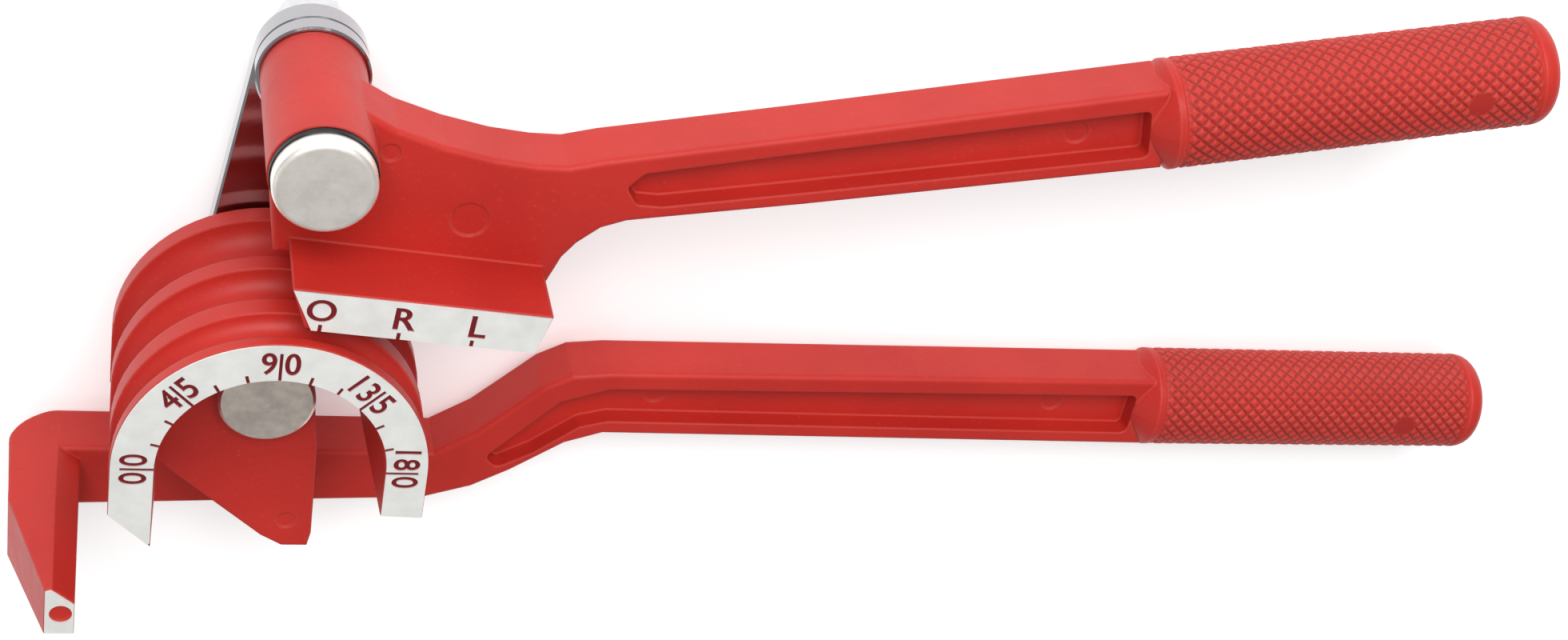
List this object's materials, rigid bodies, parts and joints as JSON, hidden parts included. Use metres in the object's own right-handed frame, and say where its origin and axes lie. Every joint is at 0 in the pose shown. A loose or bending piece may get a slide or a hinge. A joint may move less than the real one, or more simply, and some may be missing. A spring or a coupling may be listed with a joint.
{
  "type": "manual tube bender",
  "caption": "Hand tube bender: two red cast handles with knurled grips, a plated link and pins, a grooved half-round former with a degree scale, a grooved shoe and a tube hook.",
  "frame": {"origin": "on the former's axis, at the rear end of the pivot pin, the lowest plane of the tool laid on its back", "axes": "+Z is the former's axis and leaves the scale face; +X runs along the lower handle towards its grip; +Y points from the lower handle towards the upper one"},
  "size_m": [0.2727, 0.1204, 0.0518],
  "materials": {
    "red_enamel": "red enamel on an as-cast surface",
    "link_plating": "bright plating",
    "pin_plating": "nickel plating, satin head",
    "nut_plating": "zinc plating",
    "dark_washer": "blackened steel",
    "bush_bronze": "machined bronze"
  },
  "bodies": {
    "former_side": {"former_handle": "red_enamel", "pivot_pin": "pin_plating", "pivot_thrust_washer": "dark_washer", "pivot_rear_washer": "nut_plating", "pivot_nut": "nut_plating"},
    "link_side": {"link": "link_plating", "link_bush": "bush_bronze", "slide_pin": "pin_plating", "slide_front_washer": "dark_washer", "slide_thrust_washer": "link_plating", "slide_rear_washer": "nut_plating", "slide_nut": "nut_plating"},
    "slide_side": {"slide_handle": "red_enamel", "slide_front_bush": "bush_bronze", "slide_rear_bush": "bush_bronze"}
  },
  "joints": [
    {"name": "former_pivot", "type": "hinge", "parent": "former_side", "child": "link_side", "pos_m": [0, 0, 0.0115], "axis": [0, 0, 1], "range_deg": [-83, 95]},
    {"name": "slide_pivot", "type": "hinge", "parent": "link_side", "child": "slide_side", "pos_m": [0.00434, 0.04961, 0.03], "axis": [0, 0, 1], "range_deg": [0, 110]}
  ]
}
